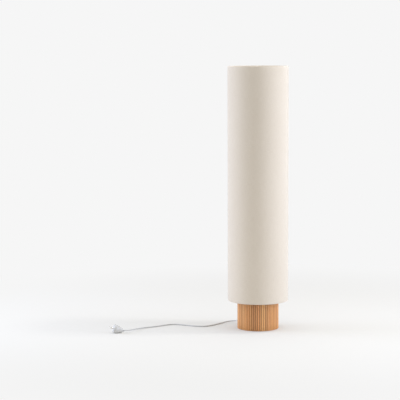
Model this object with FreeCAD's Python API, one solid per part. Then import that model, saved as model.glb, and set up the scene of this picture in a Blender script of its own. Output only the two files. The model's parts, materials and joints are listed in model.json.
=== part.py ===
import FreeCAD, Part
import math
import os

from FreeCAD import Vector

# Column floor lamp: a tall fabric cylinder round a steel pole with two lampholders,
# standing on a weighted wooden base that is clad in half-round slats.
# Millimetres. +Z up, origin on the floor under the centre of the lamp, the side seen first is -Y.

# ---------------------------------------------------------------- driving dimensions
# Shade
SHADE_TOP = 1300.0            # floor to the upper rim
SHADE_BOTTOM = 141.0          # floor to the lower rim
SHADE_RADIUS = 150.0
FABRIC = 0.7                  # thickness of the cloth
LINER = 0.8                   # stiff plastic sheet that the cloth is laminated to
RING_WIRE = 1.75              # radius of the rim wire
HEM_DROP = 18.0               # how far a rolled hem reaches back along the liner
HEM_STRAIGHT = 1.0            # straight of a hem past its roll
HEM_SLOPE = 3.0               # length in which a hem then falls back to the liner
SPIDER_DROP = 42.0            # upper rim to the underside of the spider's hub
SPIDER_ARMS = 3
SPIDER_ROD = 2.0
SPIDER_FLAT = 32.0            # radius at which a spider arm starts to rise
SPIDER_BEND = 16.0
SPIDER_WELD = 3.0             # how far an arm reaches in under the hub
HUB_RADIUS = 14.0
HUB_THICK = 3.0

# Wooden base
BASE_RADIUS = 102.5           # over the crests of the slats
BASE_TOP = 150.0
SLAT_COUNT = 64
SLAT_DEPTH = 5.0
SLAT_EDGE = 0.8               # straight flank of a slat before its round begins
SLAT_GAP = 0.2
DRUM_WALL = 12.0
TOP_DISC = 10.0
PLATE_THICK = 2.0
PLATE_INSET = 0.5             # drum radius less plate radius
SLAT_SKIRT = 1.8              # how far the slats hide the feet below the plate
BALLAST_THICK = 22.0
BALLAST_GAP = 1.0
BALLAST_SOCKET = 12.0         # depth of the pole's socket in the ballast
BALLAST_SCREW_CIRCLE = 53.5
BALLAST_SCREW_COUNT = 3
BALLAST_SCREW_START = 30.0    # degrees
PLATE_SCREW_COUNT = 4
CABLE_NOTCH_WIDTH = 26.0
CABLE_NOTCH_START = 63.0      # radius at which the notch begins
FOOT_RADIUS = 9.0
FOOT_HEIGHT = 3.0
FOOT_TAPER = 0.6
FOOT_CIRCLE = 76.0
FOOT_COUNT = 4

# Pole and its fittings
POLE_RADIUS = 8.0
POLE_WALL = 1.2
STUD_RADIUS = 3.0
STUD_PLUG_LENGTH = 15.0
STUD_SHOULDER = 3.0
FLANGE_RADIUS = 36.0
FLANGE_THICK = 3.5
COLLAR_RADIUS = 13.0
COLLAR_HEIGHT = 16.0
FLANGE_GRUB_DROP = 5.0        # top of the flange's collar to its grub screw
FLANGE_SCREW_CIRCLE = 27.0
FLANGE_SCREW_COUNT = 4
WASHER_RADIUS = 9.0
WASHER_THICK = 1.5
NUT_RADIUS = 9.0
NUT_HEIGHT = 13.0
NUT_ROOF = 3.0                # closed end of the finial nut
NUT_SKIRT = 7.0               # height of the fluted skirt
NUT_FLUTE_END = 1.0           # plain band at each end of a flute
STUD_GAP = 1.0                # room over the stud inside the nut
NUT_FLUTES = 18
NUT_FLUTE_RADIUS = 0.7

# Arms and lampholders
LOWER_ARM_HEIGHT = 330.0
UPPER_ARM_HEIGHT = 890.0
ARM_REACH = 45.0              # pole axis to lampholder axis
ARM_RADIUS = 5.0
ARM_BORE = 3.4
ARM_RISE = 20.0
ARM_BEND = 11.0
NIPPLE_LENGTH = 5.0           # end of the arm inside the lampholder's cap
HOLDER_RADIUS = 19.5
HOLDER_ROUND = 2.0            # rounding of the holder's lower edge
HOLDER_WALL = 2.2
HOLDER_FLOOR = 2.5
HOLDER_CAP_HEIGHT = 18.0
HOLDER_SLEEVE_HEIGHT = 40.0
HOLDER_LEDGE = 8.0
HOLDER_LEDGE_WIDTH = 2.3
INSERT_HEIGHT = 12.0
INSERT_GAP = 0.3
SCREW_SHELL_HEIGHT = 26.0
SCREW_SHELL_WALL = 0.6
CONTACT_RADIUS = 4.0
CONTACT_HEIGHT = 2.0

# Bulbs
BULB_RADIUS = 30.0
BULB_CAP_RADIUS = 13.2
BULB_CAP_HEIGHT = 27.0
BULB_NECK_LENGTH = 14.0
BULB_NECK_RADIUS = 13.0
BULB_SHOULDER_ANGLE = 40.0    # degrees below the equator where the neck leaves the globe
BULB_TIP_RADIUS = 4.8
BULB_TIP_HEIGHT = 2.2
BULB_INSULATOR_HEIGHT = 3.0
BULB_CAP_CHAMFER = 1.0
GLASS_WALL = 0.8
STEM_RADIUS = 4.0
STEM_FOOT = 1.5               # thickness of the disc that closes the neck
MAST_RADIUS = 1.3
FILAMENT_RADIUS = 1.0
FILAMENT_LENGTH = 34.0
FILAMENT_COUNT = 4
FILAMENT_CIRCLE = 7.5
FILAMENT_DISC = 0.8

# Rocker switch in the back of the base
SWITCH_HEIGHT = 88.0
SWITCH_BARREL = 10.0
SWITCH_FLANGE = 12.0
SWITCH_FLANGE_THICK = 2.2
SWITCH_DEPTH = 21.0           # behind the drum's outer face
ROCKER_RADIUS = 8.2
ROCKER_GAP = 0.4
ROCKER_TILT = 7.0             # degrees either side of level
ROCKER_SINK = 2.2             # rocker's axis behind the flange's face
ROCKER_PIN = 1.2
ROCKER_PIN_REACH = 0.8        # trunnion past the rocker's edge
ROCKER_SOCKET = 1.0           # its socket, from the same edge
ROCKER_THICK = 3.4
ROCKER_WELL = 7.0
DISH_RADIUS = 40.0            # hollow of the rocker's face
DISH_BOTTOM = 0.9             # lowest point of the hollow in front of the axis
BLADE_SPACING = 9.0
BLADE_WIDTH = 4.8
BLADE_THICK = 0.8
BLADE_LENGTH = 8.0            # past the housing
BLADE_ROOT = 4.0              # inside the housing

# Cord, gland and terminals
CORD_DIAMETER = 6.0
GLAND_TURN = 40.0             # degrees from the back towards the left
GLAND_HEIGHT = 14.0
GLAND_RADIUS = 6.0
GLAND_FLANGE = 8.0
GLAND_FLANGE_THICK = 2.5
GLAND_NUT_RADIUS = 8.5
GLAND_NUT_THICK = 4.0
GLAND_TAIL = 0.5              # end of the gland past its nut
BOOT_LENGTH = 25.0
BOOT_ROOT = 5.6
BOOT_TIP = 3.9
INNER_BEND = 8.0              # bend of the cord inside the base
RISER_FOOT = 75.5             # where the cord turns up inside the notch
RISER_HEAD = 66.5
CLAMP_RADIUS = 54.0           # where the cord clamp stands
CLAMP_SIZE = Vector(24.0, 9.0, 3.0)
BLOCK_SIZE = Vector(32.0, 16.0, 13.0)
BLOCK_RADIUS = 34.0           # where the terminal block stands
BLOCK_WAYS = 3
LEAD_RADIUS = 1.3
LEAD_BEND = 4.0
LEAD_SPREAD = 5.0             # half the distance of two leads at the terminal block
LEAD_STRAIGHT = 7.0           # straight of a lead as it leaves the block for the pole
LEAD_RISE_RADIUS = 14.5       # radius at which it has risen to the pole's entry
LEAD_RISE_DROP = 2.0          # below the entry there
LEAD_PLACE = Vector(1.6, 1.7, 0.0)         # one lead in the pole's bore, the other lies opposite
POLE_ENTRY_HEIGHT = 53.0
POLE_ENTRY_RADIUS = 4.2
SWITCH_LEAD_SPREAD = 4.0      # half the distance of the switch's leads at the block
SWITCH_LEAD_STRAIGHT = 9.0
SWITCH_LEAD_BACK = 16.0       # where a lead rises behind the switch, before its blade
SWITCH_LEAD_DROP = 22.0
SWITCH_LEAD_END = 11.0        # straight of the lead at its blade

# Plug, lying on its side at the end of the cord
PLUG_END = Vector(-658.5, -122.6, 0.0)     # where the cord meets the plug, seen from above
PLUG_FACE_RADIUS = 21.0
PLUG_TAIL_RADIUS = 11.0
PLUG_LENGTH = 44.0
PLUG_RIM = 13.0               # straight rim next to the face
PLUG_CHAMFER = 1.0            # round the face
PLUG_LIFT = 0.3
PLUG_BOOT_LENGTH = 12.0
PLUG_BOOT_ROOT = 6.5
PLUG_BOOT_TIP = 4.0
PLUG_BOOT_SINK = 4.0          # boot past the plug's tail before it is trimmed to it
PLUG_FACE_INSET = 16.5
PLUG_POCKET = 3.0
PLUG_FACE_PROUD = 1.0
PIN_RADIUS = 2.4
PIN_LENGTH = 19.0
PIN_SPACING = 19.0
PIN_ROUND = 1.4               # rounding of a pin's tip
EARTH_WIDTH = 6.0
EARTH_LENGTH = 7.0
EARTH_THICK = 1.2
EARTH_INSET = 1.4             # outer face of an earth strip inside the rim

# Screws
SCREW_SHANK = 2.0
SCREW_HEAD = 3.8
SCREW_HEAD_HEIGHT = 2.2
SCREW_REACH = 9.0             # length of a wood screw past its seat
SLOT_WIDTH = 0.9
GRUB_RADIUS = 2.0
GRUB_RECESS = 0.5             # its end inside the collar's face
OVERRUN = 10.0                # how far a cutting shape passes what it cuts

# Fits
FIT = 0.05                    # radial clearance of fixed pieces and running fits
ROLL_GAP = 0.4                # between a rim wire and the cloth rolled over it
LOOSE = 0.3                   # clearance between curved faces
SEAT = 0.3                    # bulb tip above its contact

# The cord's route on the floor, from the gland's boot to the plug
CORD_ROUTE = [
    (-95.1, 113.4, 14.0),
    (-108.6, 126.6, 12.4),
    (-125.4, 136.4, 10.0),
    (-145.0, 138.0, 7.2),
    (-163.5, 130.5, 4.8),
    (-181.0, 112.0, 3.4),
    (-199.0, 87.0, 3.2),
    (-219.0, 61.0, 3.2),
    (-243.0, 36.0, 3.2),
    (-272.0, 20.0, 3.2),
    (-304.0, 28.0, 3.2),
    (-338.0, 44.0, 3.2),
    (-374.0, 63.0, 3.2),
    (-412.0, 80.0, 3.2),
    (-446.0, 75.0, 3.2),
    (-480.0, 45.0, 3.2),
    (-514.0, 19.0, 3.2),
    (-545.0, 1.0, 3.2),
    (-572.0, -16.0, 3.6),
    (-590.0, -38.0, 5.0),
    (-604.5, -63.0, 7.0),
    (-616.0, -88.0, 8.8),
    (-627.5, -106.5, 10.2),
    (-641.5, -118.0, 10.8),
]

# ---------------------------------------------------------------- places worked out from them
UP = Vector(0, 0, 1)
RIGHT = Vector(1, 0, 0)
BACK = Vector(0, 1, 0)
ORIGIN = Vector(0, 0, 0)

PLATE_TOP = FOOT_HEIGHT + PLATE_THICK
DRUM_RADIUS = BASE_RADIUS - SLAT_DEPTH
DRUM_BORE = DRUM_RADIUS - DRUM_WALL
DRUM_TOP = BASE_TOP - TOP_DISC
BALLAST_RADIUS = DRUM_BORE - BALLAST_GAP
BALLAST_TOP = PLATE_TOP + BALLAST_THICK
FLANGE_TOP = BASE_TOP + FLANGE_THICK
HUB_BOTTOM = SHADE_TOP - SPIDER_DROP
HUB_TOP = HUB_BOTTOM + HUB_THICK
POLE_TOP = HUB_BOTTOM - STUD_SHOULDER
POLE_BOTTOM = BALLAST_TOP - BALLAST_SOCKET
POLE_BORE = POLE_RADIUS - POLE_WALL
NUT_BOTTOM = HUB_TOP + WASHER_THICK
STUD_TOP = NUT_BOTTOM + NUT_HEIGHT - NUT_ROOF - STUD_GAP
CORD_RADIUS = CORD_DIAMETER / 2
GLAND_FACE = BASE_RADIUS + GLAND_FLANGE_THICK
EXIT_RADIUS = GLAND_FACE + BOOT_LENGTH
FLANGE_GRUB_HEIGHT = BASE_TOP + COLLAR_HEIGHT - FLANGE_GRUB_DROP
SHELL_BORE = BULB_CAP_RADIUS + FIT
BLOCK_MIDDLE = BALLAST_TOP + BLOCK_SIZE.z / 2
SWITCH_REAR = DRUM_RADIUS - SWITCH_DEPTH - BLADE_LENGTH
PLUG_SLOPE = math.atan2(PLUG_FACE_RADIUS - PLUG_TAIL_RADIUS, PLUG_LENGTH - PLUG_RIM)


# ---------------------------------------------------------------- helpers
def cylinder(radius, height, base=ORIGIN, axis=UP):
    return Part.makeCylinder(radius, height, base, axis)


def tube(outer, inner, height, base=ORIGIN, axis=UP):
    return cylinder(outer, height, base, axis).cut(cylinder(inner, height, base, axis))


def box(size, centre_bottom):
    corner = centre_bottom - Vector(size.x / 2, size.y / 2, 0)
    return Part.makeBox(size.x, size.y, size.z, corner)


def fused(shapes):
    whole = shapes[0].multiFuse(shapes[1:]) if len(shapes) > 1 else shapes[0]
    return whole.removeSplitter()


def outline(start, steps):
    """Closed wire in the XZ plane. A step is an end point, or a middle and an end point of an arc."""
    here = Vector(start[0], 0, start[1])
    first = here
    edges = []
    for step in steps:
        points = [Vector(step[i], 0, step[i + 1]) for i in range(0, len(step), 2)]
        if len(points) == 1:
            edges.append(Part.LineSegment(here, points[0]).toShape())
        else:
            edges.append(Part.Arc(here, points[0], points[1]).toShape())
        here = points[-1]
    if here.sub(first).Length > 1e-6:
        edges.append(Part.LineSegment(here, first).toShape())
    return Part.Wire(edges)


def turned(start, steps, place=ORIGIN):
    """Solid of revolution about Z of an outline of (radius, height) points."""
    solid = Part.Face(outline(start, steps)).revolve(ORIGIN, UP, 360)
    solid.translate(place)
    return solid


def around(shape, count, first=0.0):
    """Copies of a shape, evenly spaced about Z."""
    copies = []
    for index in range(count):
        copy = shape.copy()
        copy.rotate(ORIGIN, UP, first + index * 360.0 / count)
        copies.append(copy)
    return copies


def bent_wire(points, bends=None, radii=None):
    """Straight runs joined by tangent arcs. Without bend radii each arc is as large as its runs allow."""
    edges = []
    here = points[0]
    bends = bends or [None] * (len(points) - 2)
    for before, corner, after, bend in zip(points, points[1:], points[2:], bends):
        run_in = corner.sub(before)
        run_out = after.sub(corner)
        turn = run_in.getAngle(run_out)
        shorter = min(run_in.Length, run_out.Length)
        radius = bend or 0.45 * shorter / math.tan(turn / 2)
        cut = radius * math.tan(turn / 2)
        unit_in = Vector(run_in).normalize()
        unit_out = Vector(run_out).normalize()
        arc_start = corner.sub(unit_in * cut)
        arc_end = corner.add(unit_out * cut)
        inward = Vector(unit_out.sub(unit_in)).normalize()
        middle = corner.add(inward * (radius / math.cos(turn / 2) - radius))
        edges.append(Part.LineSegment(here, arc_start).toShape())
        edges.append(Part.Arc(arc_start, middle, arc_end).toShape())
        here = arc_end
        if radii is not None:
            radii.append(radius)
    edges.append(Part.LineSegment(here, points[-1]).toShape())
    return Part.Wire(edges)


def bent_rod(points, radius, bends=None, radii=None):
    path = bent_wire(points, bends, radii)
    start_run = points[1].sub(points[0])
    section = Part.Wire([Part.Circle(points[0], start_run, radius).toShape()])
    return path.makePipeShell([section], True, False), path


def wood_screw(seat, direction):
    """Countersunk screw with a slotted head, whose flat top lies at the seat."""
    head = Part.makeCone(SCREW_HEAD, SCREW_SHANK, SCREW_HEAD_HEIGHT, seat, direction)
    shank = cylinder(SCREW_SHANK, SCREW_REACH, seat, direction)
    slot = Part.makeBox(SLOT_WIDTH, 2 * SCREW_HEAD, 2 * SLOT_WIDTH)
    slot.translate(Vector(-SLOT_WIDTH / 2, -SCREW_HEAD, -SLOT_WIDTH))
    slot.Placement = FreeCAD.Placement(seat, FreeCAD.Rotation(UP, direction)).multiply(slot.Placement)
    return fused([head, shank]).cut(slot)


def screws(seats, direction):
    return Part.makeCompound([wood_screw(seat, direction) for seat in seats])


def seats_around(radius, height, count, first=45.0):
    """Screw seats, evenly spaced about Z. first is the angle of the first one."""
    angles = [math.radians(first + 360.0 * index / count) for index in range(count)]
    return [Vector(radius * math.cos(angle), radius * math.sin(angle), height) for angle in angles]


def screw_hole(seat, direction):
    """The room that a screw takes, with its fit."""
    head = Part.makeCone(SCREW_HEAD + FIT, SCREW_SHANK + FIT, SCREW_HEAD_HEIGHT, seat, direction)
    return fused([head, cylinder(SCREW_SHANK + FIT, SCREW_REACH + FIT, seat, direction)])


def at_gland(shape):
    """Turn a shape that points to the back so that it points where the cord leaves."""
    copy = shape.copy()
    copy.rotate(ORIGIN, UP, GLAND_TURN)
    return copy


def gland_point(radius, height, aside=0.0):
    """A point at a radius towards the gland, and aside from that line to the right."""
    angle = math.radians(90 + GLAND_TURN)
    outward = Vector(math.cos(angle), math.sin(angle), 0)
    rightward = Vector(outward.y, -outward.x, 0)
    return outward * radius + rightward * aside + UP * height


# ---------------------------------------------------------------- base
def plate_screw_seats():
    return seats_around(DRUM_BORE + DRUM_WALL / 2, FOOT_HEIGHT, PLATE_SCREW_COUNT)


def ballast_screw_seats():
    return seats_around(BALLAST_SCREW_CIRCLE, FOOT_HEIGHT, BALLAST_SCREW_COUNT, BALLAST_SCREW_START)


def flange_screw_seats():
    return seats_around(FLANGE_SCREW_CIRCLE, FLANGE_TOP, FLANGE_SCREW_COUNT)


def wall_holes():
    """Holes through the wall of the base for the switch and for the cord's gland."""
    start = BACK * (DRUM_BORE - OVERRUN)
    reach = BASE_RADIUS - DRUM_BORE + 2 * OVERRUN
    switch = cylinder(SWITCH_BARREL + FIT, reach, start + UP * SWITCH_HEIGHT, BACK)
    gland = cylinder(GLAND_RADIUS + FIT, reach, start + UP * GLAND_HEIGHT, BACK)
    return [switch, at_gland(gland)]


def base_drum():
    drum = tube(DRUM_RADIUS, DRUM_BORE, DRUM_TOP - PLATE_TOP, UP * PLATE_TOP)
    return drum.cut(wall_holes() + [screw_hole(seat, UP) for seat in plate_screw_seats()])


def base_slats():
    bottom = FOOT_HEIGHT - SLAT_SKIRT
    half_width = DRUM_RADIUS * math.tan(math.pi / SLAT_COUNT) - SLAT_GAP / 2
    flank = DRUM_RADIUS + SLAT_EDGE
    corners = [Vector(DRUM_RADIUS, -half_width, 0), Vector(flank, -half_width, 0),
               Vector(flank, half_width, 0), Vector(DRUM_RADIUS, half_width, 0)]
    edges = [Part.LineSegment(corners[0], corners[1]).toShape(),
             Part.Arc(corners[1], RIGHT * BASE_RADIUS, corners[2]).toShape(),
             Part.LineSegment(corners[2], corners[3]).toShape(),
             Part.LineSegment(corners[3], corners[0]).toShape()]
    slat = Part.Face(Part.Wire(edges)).extrude(UP * (BASE_TOP - bottom))
    slat.translate(UP * bottom)
    holes = wall_holes()
    slats = []
    for copy in around(slat, SLAT_COUNT, -90):
        near_hole = any(copy.distToShape(hole)[0] <= 0 for hole in holes)
        slats.extend((copy.cut(holes) if near_hole else copy).Solids)
    return Part.makeCompound(slats)


def base_top_disc():
    disc = tube(DRUM_RADIUS, POLE_RADIUS + FIT, TOP_DISC, UP * DRUM_TOP)
    return disc.cut([cylinder(SCREW_SHANK + FIT, SCREW_REACH + FIT, seat, UP * -1)
                     for seat in flange_screw_seats()])


def bottom_plate():
    plate = cylinder(DRUM_RADIUS - PLATE_INSET, PLATE_THICK, UP * FOOT_HEIGHT)
    seats = plate_screw_seats() + ballast_screw_seats()
    return plate.cut([screw_hole(seat, UP) for seat in seats])


def ballast_disc():
    disc = cylinder(BALLAST_RADIUS, BALLAST_THICK, UP * PLATE_TOP)
    socket = cylinder(POLE_RADIUS + FIT, BALLAST_SOCKET, UP * POLE_BOTTOM)
    notch = Part.makeBox(CABLE_NOTCH_WIDTH, BALLAST_RADIUS, BALLAST_THICK,
                         Vector(-CABLE_NOTCH_WIDTH / 2, CABLE_NOTCH_START, PLATE_TOP))
    return disc.cut([socket, at_gland(notch)] + [screw_hole(seat, UP) for seat in ballast_screw_seats()])


def rubber_feet():
    foot = Part.makeCone(FOOT_RADIUS, FOOT_RADIUS - FOOT_TAPER, FOOT_HEIGHT, Vector(FOOT_CIRCLE, 0, 0))
    return Part.makeCompound(around(foot, FOOT_COUNT))


# ---------------------------------------------------------------- pole
def pole():
    body = tube(POLE_RADIUS, POLE_BORE, POLE_TOP - POLE_BOTTOM, UP * POLE_BOTTOM)
    entry = at_gland(cylinder(POLE_ENTRY_RADIUS, POLE_RADIUS + OVERRUN, UP * POLE_ENTRY_HEIGHT, BACK))
    lower = cylinder(ARM_BORE, POLE_RADIUS + OVERRUN, UP * LOWER_ARM_HEIGHT, RIGHT * -1)
    upper = cylinder(ARM_BORE, POLE_RADIUS + OVERRUN, UP * UPPER_ARM_HEIGHT, RIGHT)
    return body.cut([entry, lower, upper])


def pole_top_stud():
    plug = cylinder(POLE_BORE - FIT, STUD_PLUG_LENGTH, UP * (POLE_TOP - STUD_PLUG_LENGTH))
    shoulder = cylinder(POLE_RADIUS, STUD_SHOULDER, UP * POLE_TOP)
    stud = cylinder(STUD_RADIUS, STUD_TOP - HUB_BOTTOM, UP * HUB_BOTTOM)
    return fused([plug, shoulder, stud])


def pole_flange():
    plate = cylinder(FLANGE_RADIUS, FLANGE_THICK, UP * BASE_TOP)
    collar = cylinder(COLLAR_RADIUS, COLLAR_HEIGHT, UP * BASE_TOP)
    bore = cylinder(POLE_RADIUS + FIT, COLLAR_HEIGHT, UP * BASE_TOP)
    holes = [screw_hole(seat, UP * -1) for seat in flange_screw_seats()]
    return fused([plate, collar]).cut([bore, grub_hole(FLANGE_GRUB_HEIGHT, RIGHT)] + holes)


def grub_hole(height, direction):
    return cylinder(GRUB_RADIUS + FIT, COLLAR_RADIUS, UP * height, direction)


def grub_screw(height, direction):
    start = UP * height + direction * (POLE_RADIUS + FIT)
    return cylinder(GRUB_RADIUS, COLLAR_RADIUS - POLE_RADIUS - GRUB_RECESS, start, direction)


# ---------------------------------------------------------------- arms, lampholders and bulbs
def arm_points(height, side):
    return [UP * height, Vector(side * ARM_REACH, 0, height), Vector(side * ARM_REACH, 0, height + ARM_RISE)]


def arm(height, side):
    """Collar on the pole with a bent hollow arm that ends in the lampholder's nipple."""
    collar = cylinder(COLLAR_RADIUS, COLLAR_HEIGHT, UP * (height - COLLAR_HEIGHT / 2))
    outer = bent_rod(arm_points(height, side), ARM_RADIUS, [ARM_BEND])[0]
    inner = bent_rod(arm_points(height, side), ARM_BORE, [ARM_BEND])[0]
    bore = cylinder(POLE_RADIUS + FIT, COLLAR_HEIGHT, UP * (height - COLLAR_HEIGHT / 2))
    return fused([collar, outer]).cut([bore, inner, grub_hole(height, BACK)])


def holder_base(height, side):
    return Vector(side * ARM_REACH, 0, height + ARM_RISE - NIPPLE_LENGTH - HOLDER_FLOOR)


def holder_cap(place):
    bore = HOLDER_RADIUS - HOLDER_WALL
    ledge = bore - HOLDER_LEDGE_WIDTH
    edge = HOLDER_ROUND * (1 - math.sqrt(0.5))
    return turned((ARM_RADIUS + FIT, 0),
                  [(HOLDER_RADIUS - HOLDER_ROUND, 0),
                   (HOLDER_RADIUS - edge, edge, HOLDER_RADIUS, HOLDER_ROUND),
                   (HOLDER_RADIUS, HOLDER_CAP_HEIGHT), (bore, HOLDER_CAP_HEIGHT), (bore, HOLDER_LEDGE),
                   (ledge, HOLDER_LEDGE), (ledge, HOLDER_FLOOR), (ARM_RADIUS + FIT, HOLDER_FLOOR)], place)


def holder_sleeve(place):
    return tube(HOLDER_RADIUS, HOLDER_RADIUS - HOLDER_WALL, HOLDER_SLEEVE_HEIGHT,
                place + UP * HOLDER_CAP_HEIGHT)


def holder_insert(place):
    radius = HOLDER_RADIUS - HOLDER_WALL - INSERT_GAP
    return tube(radius, LEAD_RADIUS + FIT, INSERT_HEIGHT, place + UP * HOLDER_LEDGE)


def insert_top(place):
    return place + UP * (HOLDER_LEDGE + INSERT_HEIGHT)


def screw_shell(place):
    return tube(SHELL_BORE + SCREW_SHELL_WALL, SHELL_BORE, SCREW_SHELL_HEIGHT, insert_top(place))


def centre_contact(place):
    return cylinder(CONTACT_RADIUS, CONTACT_HEIGHT, insert_top(place))


def bulb_tip(place):
    return insert_top(place) + UP * (CONTACT_HEIGHT + SEAT)


def bulb_cap(place):
    collar = BULB_TIP_HEIGHT + BULB_INSULATOR_HEIGHT
    return turned((0, 0), [(BULB_TIP_RADIUS, 0), (BULB_TIP_RADIUS, BULB_TIP_HEIGHT),
                           (BULB_CAP_RADIUS - BULB_CAP_CHAMFER, collar),
                           (BULB_CAP_RADIUS, collar + BULB_CAP_CHAMFER),
                           (BULB_CAP_RADIUS, BULB_CAP_HEIGHT), (0, BULB_CAP_HEIGHT)], bulb_tip(place))


def globe_centre():
    """Height of the globe's centre over the bulb's tip: the neck's cone touches the globe."""
    angle = math.radians(BULB_SHOULDER_ANGLE)
    cone_drop = (BULB_RADIUS * math.cos(angle) - BULB_NECK_RADIUS) / math.tan(angle)
    return BULB_CAP_HEIGHT + BULB_NECK_LENGTH + cone_drop + BULB_RADIUS * math.sin(angle)


def glass_form(inset, place):
    angle = math.radians(BULB_SHOULDER_ANGLE)
    centre = globe_centre()
    radius = BULB_RADIUS - inset
    neck = BULB_NECK_RADIUS - inset
    diagonal = radius * math.sqrt(0.5)
    half = angle / 2
    cone_drop = (radius * math.cos(angle) - neck) / math.tan(angle)
    cone_end = centre - radius * math.sin(angle) - cone_drop
    return turned((0, centre + radius),
                  [(diagonal, centre + diagonal, radius, centre),
                   (radius * math.cos(half), centre - radius * math.sin(half),
                    radius * math.cos(angle), centre - radius * math.sin(angle)),
                   (neck, cone_end), (neck, BULB_CAP_HEIGHT), (0, BULB_CAP_HEIGHT)], place)


def bulb_glass(place):
    tip = bulb_tip(place)
    return glass_form(0, tip).cut(glass_form(GLASS_WALL, tip))


def bulb_filaments(place):
    """Glass stem with a ring of straight light-emitting rods between two thin discs."""
    tip = bulb_tip(place)
    low = globe_centre() - FILAMENT_LENGTH / 2
    foot = cylinder(BULB_NECK_RADIUS - GLASS_WALL - FIT, STEM_FOOT, tip + UP * BULB_CAP_HEIGHT)
    stem = cylinder(STEM_RADIUS, low - BULB_CAP_HEIGHT, tip + UP * BULB_CAP_HEIGHT)
    mast = cylinder(MAST_RADIUS, FILAMENT_LENGTH, tip + UP * low)
    disc_radius = FILAMENT_CIRCLE + 2 * FILAMENT_RADIUS
    discs = [cylinder(disc_radius, FILAMENT_DISC, tip + UP * (low - FILAMENT_DISC)),
             cylinder(disc_radius, FILAMENT_DISC, tip + UP * (low + FILAMENT_LENGTH))]
    rod = cylinder(FILAMENT_RADIUS, FILAMENT_LENGTH, Vector(FILAMENT_CIRCLE, 0, low))
    rods = around(rod, FILAMENT_COUNT, 45)
    for copy in rods:
        copy.translate(tip)
    return fused([foot, stem, mast] + discs + rods)


# ---------------------------------------------------------------- shade
def rim_centre(end):
    """Centre of a rim wire's section. end is 1 at the upper rim and -1 at the lower one."""
    roll = RING_WIRE + ROLL_GAP + FABRIC
    rim = SHADE_TOP if end > 0 else SHADE_BOTTOM
    return SHADE_RADIUS - roll, rim - end * roll


def rim_wire(end):
    radius, height = rim_centre(end)
    return Part.makeTorus(radius, RING_WIRE, UP * height)


def hem_corners(end):
    """Section of a hem from the outside of its roll down to its edge and back to the inside of the roll."""
    radius, height = rim_centre(end)
    outer = RING_WIRE + ROLL_GAP + FABRIC
    inner = RING_WIRE + ROLL_GAP
    flap = SHADE_RADIUS - FABRIC - FIT - LINER - FIT
    straight = height - end * HEM_STRAIGHT
    slope = height - end * (outer + HEM_SLOPE)
    stop = height - end * HEM_DROP
    return [(radius - outer, height), (radius - outer, straight), (flap - FABRIC, slope),
            (flap - FABRIC, stop), (flap, stop), (flap, slope), (radius - inner, straight),
            (radius - inner, height)]


def spider_rod_points():
    ring_radius, ring_height = rim_centre(1)
    middle = HUB_BOTTOM + SPIDER_ROD
    return [Vector(0, HUB_RADIUS - SPIDER_WELD, middle), Vector(0, SPIDER_FLAT, middle),
            Vector(0, ring_radius, ring_height)]


def shade_fabric():
    """Cloth tube rolled over both rim wires, slit behind the upper roll where the spider's arms pass."""
    radius, high = rim_centre(1)
    low = rim_centre(-1)[1]
    outer = RING_WIRE + ROLL_GAP + FABRIC
    inner = RING_WIRE + ROLL_GAP
    wall = SHADE_RADIUS - FABRIC
    upper = hem_corners(1)
    lower = hem_corners(-1)[::-1]
    cloth = turned((SHADE_RADIUS, low),
                   [(SHADE_RADIUS, high), (radius, high + outer, *upper[0])] + upper[1:]
                   + [(radius, high + inner, wall, high), (wall, low), (radius, low - inner, *lower[0])]
                   + lower[1:] + [(radius, low - outer, SHADE_RADIUS, low)])
    slit = bent_rod(spider_rod_points(), SPIDER_ROD + LOOSE, [SPIDER_BEND])[0]
    outer_half = tube(SHADE_RADIUS + OVERRUN, radius, SPIDER_DROP, UP * (high - SPIDER_DROP / 2))
    return cloth.cut([copy.cut(outer_half) for copy in around(slit, SPIDER_ARMS)])


def shade_liner():
    outer = SHADE_RADIUS - FABRIC - FIT
    reach = RING_WIRE + LOOSE
    low = rim_centre(-1)[1] + reach
    high = rim_centre(1)[1] - reach
    return tube(outer, outer - LINER, high - low, UP * low)


def top_spider():
    """Upper rim wire, three arms and the hub, welded into one piece."""
    hub = cylinder(HUB_RADIUS, HUB_THICK, UP * HUB_BOTTOM)
    rod = bent_rod(spider_rod_points(), SPIDER_ROD, [SPIDER_BEND])[0]
    frame = fused([rim_wire(1), hub] + around(rod, SPIDER_ARMS))
    rod_room = cylinder(HUB_RADIUS + SPIDER_FLAT, SPIDER_ROD, UP * (HUB_BOTTOM - SPIDER_ROD))
    bore = cylinder(STUD_RADIUS + FIT, 2 * OVERRUN, UP * (HUB_BOTTOM - OVERRUN))
    return frame.cut([bore, rod_room])


def washer():
    return tube(WASHER_RADIUS, STUD_RADIUS + FIT, WASHER_THICK, UP * HUB_TOP)


def finial_nut():
    """Closed nut with a fluted skirt and a domed head."""
    rise = NUT_HEIGHT - NUT_SKIRT
    dome = (NUT_RADIUS ** 2 + rise ** 2) / (2 * rise)
    half = math.asin(NUT_RADIUS / dome) / 2
    body = turned((0, 0), [(NUT_RADIUS, 0), (NUT_RADIUS, NUT_SKIRT),
                           (dome * math.sin(half), NUT_HEIGHT - dome + dome * math.cos(half), 0, NUT_HEIGHT)],
                  UP * NUT_BOTTOM)
    bore = cylinder(STUD_RADIUS + FIT, NUT_HEIGHT - NUT_ROOF, UP * NUT_BOTTOM)
    flute = cylinder(NUT_FLUTE_RADIUS, NUT_SKIRT - 2 * NUT_FLUTE_END,
                     Vector(NUT_RADIUS, 0, NUT_BOTTOM + NUT_FLUTE_END))
    return body.cut([bore] + around(flute, NUT_FLUTES))


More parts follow.
